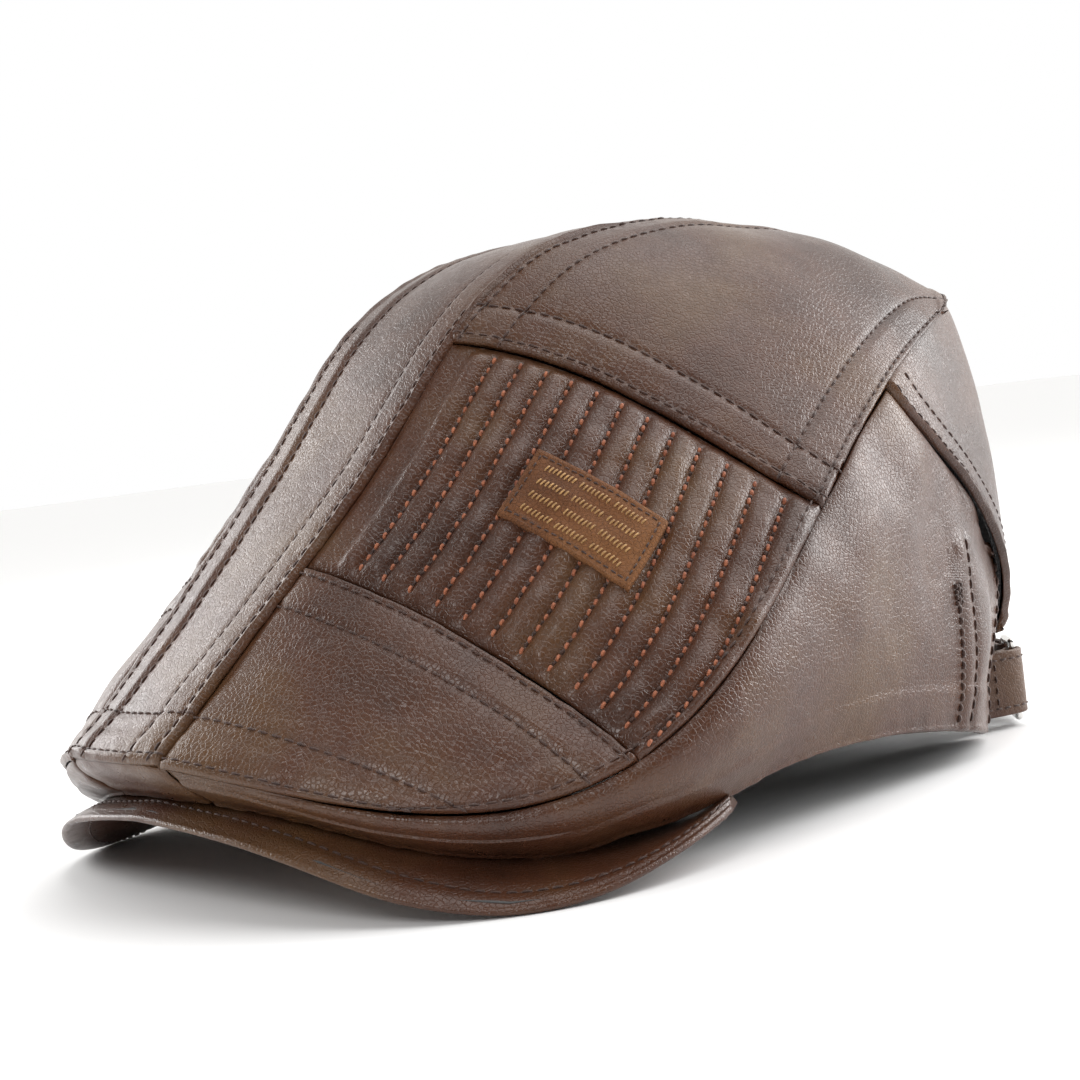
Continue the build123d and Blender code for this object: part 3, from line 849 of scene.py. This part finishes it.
# ---- lining and sweatband ----
def crown_inside(a, b):
    a, b = np.broadcast_arrays(np.asarray(a, float), np.asarray(b, float))
    t, side = 0.10 + 0.82 * a, 2 * b - 1
    mid = strip_patch(t, np.clip((side / 0.3 + 1) / 2, 0, 1))
    inner, outer = strip_seam(t), crown_seam(0.19 + 0.57 * (1 - (1 - t) ** 1.75))
    w = (0.92 * np.clip(np.abs(side) - 0.3, 0, 1) / 0.7)[..., None]
    lift = np.array([0.0, 0.0, 1.0])
    q, r = inner + (outer - inner) / 3 + 8 * lift, inner + (outer - inner) * 2 / 3 + 6 * lift
    c = 1 - w
    far = c ** 3 * inner + 3 * c * c * w * q + 3 * c * w * w * r + w ** 3 * outer
    far[..., 0] *= np.where(side > 0, 1, -1)
    return np.where((np.abs(side) < 0.3)[..., None], mid, far)


def build_linings():
    crown = Panel(crown_inside, detail=2.5, gap=0)
    crown.height -= LINING_DEEP + 0.5 * soft_noise(crown.base, 22, 71)
    piece = crown.build("crown_lining_cloth", LINING_MAT, "cap", "lining_cloth", ["crown_lining"],
                        LINING_DEEP + LINING)
    back = Panel(back_face, detail=2.0, gap=4)
    back.height -= WALL_LINING_DEEP
    piece = back.build("back_lining_cloth", LINING_MAT, "cap", "lining_cloth", ["back_lining"],
                       WALL_LINING_DEEP + LINING)
    for name, mirror in (("left", False), ("right", True)):
        def face(a, b):
            a, b = np.broadcast_arrays(a, b)
            v = 0.06 + 0.86 * b
            return wall(0.20 + (hem(v) - 0.215) * a, v, TUCK)
        side = Panel(mirrored_face(face) if mirror else face, detail=2.0, gap=0)
        side.height -= WALL_LINING_DEEP
        piece = side.build(f"side_lining_{name}_cloth", LINING_MAT, "cap", "lining_cloth",
                           [f"side_lining_{name}"], WALL_LINING_DEEP + LINING)
    band = Panel(sweat_face, detail=1.2, gap=0)
    band.height += 0.25 * np.sin(band.edge["a0"] / 2.6) * ramp((3.5 - band.edge["b1"]) / 3)
    band.groove("b1", 2.5, 0.2)
    piece = band.build("sweatband_tape", BAND_MAT, "cap", "sweatband", ["sweatband"], 0.8)
    stitches = Thread(72)
    stitches.row(*band.along("b1", 2.5), pitch=3.2, share=0.75, radius=0.22)
    stitches.build("sweatband_thread", BROWN_THREAD, "cap", "sweatband")


# ---- rear strap ----
def polar(radius, turn, along=0.0, off=0.0):
    """Plan point turn degrees round from the back, moved along the strap and off it."""
    a = math.radians(turn)
    return ((radius + off) * math.sin(a) + along * math.cos(a),
            REAR_Y + (radius + off) * math.cos(a) - along * math.sin(a))


TURN = RING_BAR + 0.2 + STRAP_LEATHER / 2       # radius of the leather's middle round a ring bar
BAR_R = REAR_R + TURN
OUTER_R = BAR_R + TURN


def fold(turn, way):
    """Half circle of plan points round the ring's bar that stands turn degrees round."""
    return [polar(BAR_R, turn, way * TURN * math.sin(a), -TURN * math.cos(a))
            for a in (math.pi * i / 6 for i in range(7))]


def smooth_path(points, spacing=0.5):
    """Dense plan path through the points, by their distance along."""
    points = np.array(points, float)
    s = np.concatenate([[0], np.cumsum(np.linalg.norm(np.diff(points, axis=0), axis=1))])
    m = len(points)
    h = np.diff(s)
    matrix, pull = np.eye(m), np.zeros_like(points)
    for i in range(1, m - 1):
        matrix[i, i - 1], matrix[i, i], matrix[i, i + 1] = h[i - 1], 2 * (h[i - 1] + h[i]), h[i]
        pull[i] = 6 * ((points[i + 1] - points[i]) / h[i] - (points[i] - points[i - 1]) / h[i - 1])
    bend = np.linalg.solve(matrix, pull)
    u = np.linspace(0, s[-1], int(s[-1] / spacing) + 2)
    i = np.clip(np.searchsorted(s, u, side="right") - 1, 0, m - 2)
    a, b, k = ((s[i + 1] - u) / h[i])[:, None], ((u - s[i]) / h[i])[:, None], (h[i] ** 2)[:, None]
    return a * points[i] + b * points[i + 1] + ((a ** 3 - a) * bend[i] + (b ** 3 - b) * bend[i + 1]) * k / 6


def strap_outline(half, corner=0.55):
    """The strap's section, (across, up), with round corners and enough points down each face for its rows."""
    tall, low_side = STRAP_TALL, (0, 180)
    points = []
    for cx, cz, start in ((half - corner, tall - corner, 0), (-half + corner, tall - corner, 90),
                          (-half + corner, corner, 180), (half - corner, corner, 270)):
        for turn in (start, start + 30, start + 60, start + 90):
            points.append((cx + corner * math.cos(math.radians(turn)),
                           cz + corner * math.sin(math.radians(turn))))
        if start in low_side:
            continue
        lo, hi = (cz, corner) if start == 90 else (corner, tall - corner)
        points += [(-half if start == 90 else half, lo + (hi - lo) * k / 14) for k in range(1, 14)]
    return np.array(points)


def strap_piece(name, points, body, nodes, blend=None, cross=(), near=2, far=2):
    """Upright leather strap with rounded edges. near and far: path points left unsewn at the end of each
    face's edge rows, or 0 for no rows on that face; cross: shares of the way along with a row across."""
    path = smooth_path(points)
    way = np.gradient(path, axis=0)
    way /= np.linalg.norm(way, axis=1, keepdims=True)
    side = np.stack([-way[:, 1], way[:, 0]], -1)
    half, groove = STRAP_LEATHER / 2, 0.14
    outline = strap_outline(half)
    across, up = outline[:, 0], outline[:, 1]
    row_heights = (STRAP_ROW, STRAP_TALL - STRAP_ROW)
    dent = groove * (ridge(up, row_heights[0], 0.6) + ridge(up, row_heights[1], 0.6))
    push = across - np.where(np.abs(across) > half - 0.05, dent, 0) * np.sign(across)
    verts = np.zeros((len(path), len(outline), 3))
    verts[..., :2] = path[:, None, :] + side[:, None, :] * push[None, :, None]
    verts[..., 2] = STRAP_LOW + up[None, :]
    faces = tube_faces(*verts.shape[:2])
    rider = None if blend else body
    piece = new_piece(name, verts.reshape(-1, 3), faces, STRAP_MAT, rider)
    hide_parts(*nodes)
    stitches = Thread(81)
    for height in row_heights:
        for out, sewn in ((side, near), (-side, far)):
            if sewn:
                face = np.column_stack([path + out * (half - 0.12), np.full(len(path), STRAP_LOW + height)])
                ways = np.column_stack([out, np.zeros(len(path))])
                stitches.row(face[2:-sewn], ways[2:-sewn], pitch=2.8, radius=0.24)
    for share in cross:
        k = int(share * (len(path) - 1))
        heights = np.linspace(2.6, STRAP_TALL - 2.6, 20)
        face = np.column_stack([np.tile(path[k] + side[k] * (half - 0.05), (20, 1)), STRAP_LOW + heights])
        stitches.row(face, np.tile([*side[k], 0.0], (20, 1)), pitch=2.4, share=0.8, radius=0.3)
    sewing = stitches.build(f"{name}_thread", BROWN_THREAD, rider, "leather")
    if blend:
        a, b, start, end = blend
        for obj in (piece, sewing):
            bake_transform(obj)
            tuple(start)
            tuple(end)


def frame_point(radius, turn):
    x, y = polar(radius, turn)
    return (x * MM, (y + MID_Y) * MM, (STRAP_LOW + STRAP_TALL / 2) * MM)


def build_straps():
    tab = ([polar(53.8, 66), polar(53.9, 60), polar(56, 54.5), polar(62.5, 49.5)] + fold(TAB_AT, -1)
           + [polar(65.0, 50.2), polar(58.1, 55.4), polar(55.3, 60.4), polar(55.2, 66)])
    strap_piece("strap_tab_leather", tab, "cap", ["strap_tab"], cross=(0.30, 0.72), far=0)
    inner = ([polar(55.3, -66), polar(55.4, -60), polar(57.8, -55), polar(63.6, -48)]
             + [polar(REAR_R, turn) for turn in range(-38, 35, 9)] + fold(FOLD_AT, 1))
    strap_piece("strap_run_leather", inner, "cap", ["strap_run"], near=26)
    flap = [polar(OUTER_R, turn) for turn in np.linspace(FOLD_AT, TIP_AT + 2, 8)]
    lift_from, lift_to = frame_point(OUTER_R, FOLD_AT - 1.5), frame_point(OUTER_R, FLAP_AT - 1.5)
    strap_piece("strap_flap_leather", flap, "flap", ["strap_flap"], blend=("cap", "flap", lift_from, lift_to))
    tip = [polar(OUTER_R, turn) for turn in np.linspace(TIP_AT + 2, FLAP_END, 8)]
    lift_from, lift_to = frame_point(OUTER_R, TIP_AT + 1.8), frame_point(OUTER_R, TIP_AT - 1.8)
    strap_piece("strap_tip_leather", tip, "tip", ["strap_tip"], blend=("flap", "tip", lift_from, lift_to))


def paint(node, mat):
    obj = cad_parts[node]
    obj.data.materials.clear()
    obj.data.materials.append(mat)


# ---- everything ----
build_strip()
for label, flip, seed in (("left", False, 11), ("right", True, 21)):
    def turned(f, flip=flip):
        return mirrored_face(f) if flip else f
    build_front(label, turned(front_patch), seed)
    build_quilted(label, turned(quilt_patch), seed + 2)
    build_rear(label, turned(rear_patch), seed + 5)
    build_side(label, turned(side_face), seed + 7)
build_back()
build_front_band()
build_bill()
build_patch()
build_linings()
build_straps()
paint("strap_ring", RING_MAT)
paint("bill_board", BOARD_MAT)
for tape in ("loop_tape", "hook_tape"):
    paint(tape, TAPE_MAT)


# ---- stage ----
BACKDROP = (-0.79, 0.61, 0.0)       # the way to the bright paper behind the cap


def build_stage():
    """White floor, and a sky that is brighter toward the backdrop but looks plain white from the camera."""
    mat, _, _, shader = material("floor_paper")
    shader.inputs["Base Color"].default_value = (0.93, 0.93, 0.93, 1)
    shader.inputs["Roughness"].default_value = 0.9
    mesh = bpy.data.meshes.new("floor")
    wide = 8.0
    corners = [(-wide, -wide, 0), (wide, -wide, 0), (wide, wide, 0), (-wide, wide, 0)]
    mesh.from_pydata(corners, [], [(0, 1, 2, 3)])
    mesh.materials.append(mat)
    floor = bpy.data.objects.new("floor", mesh)
    bpy.context.scene.collection.objects.link(floor)
    world = bpy.data.worlds.new("studio")
    bpy.context.scene.world = world
    world.use_nodes = True
    tree = world.node_tree
    nodes, links = tree.nodes, tree.links
    glow = nodes["Background"]
    page = nodes.new("ShaderNodeBackground")
    mix = nodes.new("ShaderNodeMixShader")
    toward = nodes.new("ShaderNodeVectorMath")
    toward.operation = "DOT_PRODUCT"
    toward.inputs[1].default_value = BACKDROP
    links.new(nodes.new("ShaderNodeTexCoord").outputs["Generated"], toward.inputs[0])
    shade = nodes.new("ShaderNodeMapRange")
    shade.inputs["From Min"].default_value, shade.inputs["From Max"].default_value = -0.3, 0.8
    shade.inputs["To Min"].default_value, shade.inputs["To Max"].default_value = 0.14, 1.15
    links.new(toward.outputs["Value"], shade.inputs["Value"])
    links.new(shade.outputs["Result"], glow.inputs["Strength"])
    glow.inputs["Color"].default_value = (1, 0.985, 0.96, 1)
    page.inputs["Color"].default_value = (1, 1, 1, 1)
    page.inputs["Strength"].default_value = 1.0
    links.new(nodes.new("ShaderNodeLightPath").outputs["Is Camera Ray"], mix.inputs["Fac"])
    links.new(glow.outputs["Background"], mix.inputs[1])
    links.new(page.outputs["Background"], mix.inputs[2])
    links.new(mix.outputs["Shader"], nodes["World Output"].inputs["Surface"])
    bpy.context.scene.view_settings.view_transform = "Standard"


def area_light(name, place, target, size, power):
    light = bpy.data.lights.new(name, "AREA")
    light.shape = "RECTANGLE"
    light.size, light.size_y = size
    light.energy = power
    obj = bpy.data.objects.new(name, light)
    obj.location = place
    obj.rotation_mode = "QUATERNION"
    obj.rotation_quaternion = (Vector(target) - Vector(place)).to_track_quat("-Z", "Y")
    bpy.context.scene.collection.objects.link(obj)


def sky_light():
    """One wide soft light over the whole floor."""
    light = bpy.data.lights.new("overhead", "SUN")
    light.energy, light.angle = 1.8, math.radians(60)
    obj = bpy.data.objects.new("overhead", light)
    obj.rotation_euler = (math.radians(-20), math.radians(13), 0)
    bpy.context.scene.collection.objects.link(obj)


CAMERA_AT = (0.4327, -0.3421, 0.0952)
# Degrees: round from the bill to the wearer's left, above level, and roll about the view.
CAMERA_TURN, CAMERA_RISE, CAMERA_ROLL = 52.141, 3.0708, -7.0633


def build_camera():
    data = bpy.data.cameras.new("camera")
    data.sensor_width = 36.0
    data.lens = 73.7
    data.clip_start, data.clip_end = 0.01, 50
    cam = bpy.data.objects.new("camera", data)
    turn, rise, roll = (math.radians(angle) for angle in (CAMERA_TURN, CAMERA_RISE, CAMERA_ROLL))
    cam.matrix_world = (Matrix.Translation(CAMERA_AT) @ Matrix.Rotation(turn, 4, "Z")
                        @ Matrix.Rotation(math.pi / 2 - rise, 4, "X") @ Matrix.Rotation(roll, 4, "Z"))
    bpy.context.scene.collection.objects.link(cam)
    bpy.context.scene.camera = cam


build_stage()
area_light("front", (0.45, -0.85, 0.75), (0, 0, 0.05), (0.5, 0.4), 4.5)
area_light("left", (-1.10, -0.38, 0.50), (0, 0, 0.06), (0.9, 0.7), 9)
area_light("right", (0.50, 1.15, 0.45), (0, 0, 0.06), (0.9, 0.8), 16)
sky_light()
build_camera()
